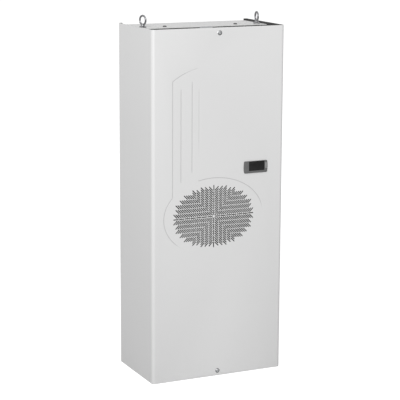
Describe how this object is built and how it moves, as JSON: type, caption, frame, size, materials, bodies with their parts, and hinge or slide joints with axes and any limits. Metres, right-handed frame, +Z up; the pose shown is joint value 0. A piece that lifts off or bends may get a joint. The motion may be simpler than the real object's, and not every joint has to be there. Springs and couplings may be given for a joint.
{
  "type": "enclosure air conditioner",
  "caption": "Slim wall or door mounted cooling unit for a switch cabinet, with oval intake grille, panel controller and lifting eyes.",
  "frame": {"origin": "middle of the footprint, on the floor", "axes": "+Z up, +Y towards the cabinet (rear), -Y the front with the grille, +X to the right seen from the front"},
  "size_m": [0.41, 0.246, 1.0411],
  "materials": {
    "hood_paint": "light grey powder coat, fine satin texture",
    "controller_grey": "moulded, matt",
    "controller_window": "dark tinted window",
    "controller_keys": "moulded, matt",
    "zinc_steel": "zinc plated",
    "galvanised_sheet": "galvanised, faint spangle",
    "dark_screw": "blackened",
    "forged_steel": "forged and zinc plated",
    "black_plastic": "moulded, matt",
    "black_paint": "dipped, semi-matt",
    "gasket_foam": "closed cell foam",
    "coil_fins": "thin rolled fins",
    "copper_tube": "drawn copper"
  },
  "bodies": {
    "root": {"front_cover": "hood_paint", "intake_grille": "hood_paint", "controller_bezel": "controller_grey", "controller_window": "controller_window", "controller_keys": "controller_keys", "controller_body": "controller_grey", "cover_screws": "zinc_steel", "cover_bracket_top": "galvanised_sheet", "cover_bracket_bottom": "galvanised_sheet", "top_plate": "hood_paint", "top_plate_screws": "dark_screw", "eye_bolts": "forged_steel", "chassis_left_wall": "galvanised_sheet", "chassis_right_wall": "galvanised_sheet", "bulkhead": "black_paint", "back_panel": "galvanised_sheet", "mounting_inserts": "zinc_steel", "base_plate": "galvanised_sheet", "drain_spout": "black_plastic", "cable_gland": "black_plastic", "return_air_grille": "black_plastic", "supply_air_grille": "black_plastic", "rear_gasket": "gasket_foam", "fan_ring": "black_paint", "fan_spacers": "zinc_steel", "fan_motor": "black_paint", "fan_rotor": "black_paint", "condenser_coil": "coil_fins", "condenser_bends": "copper_tube", "coil_brackets": "galvanised_sheet", "cabinet_blower": "black_plastic", "evaporator_coil": "coil_fins"}
  },
  "joints": []
}
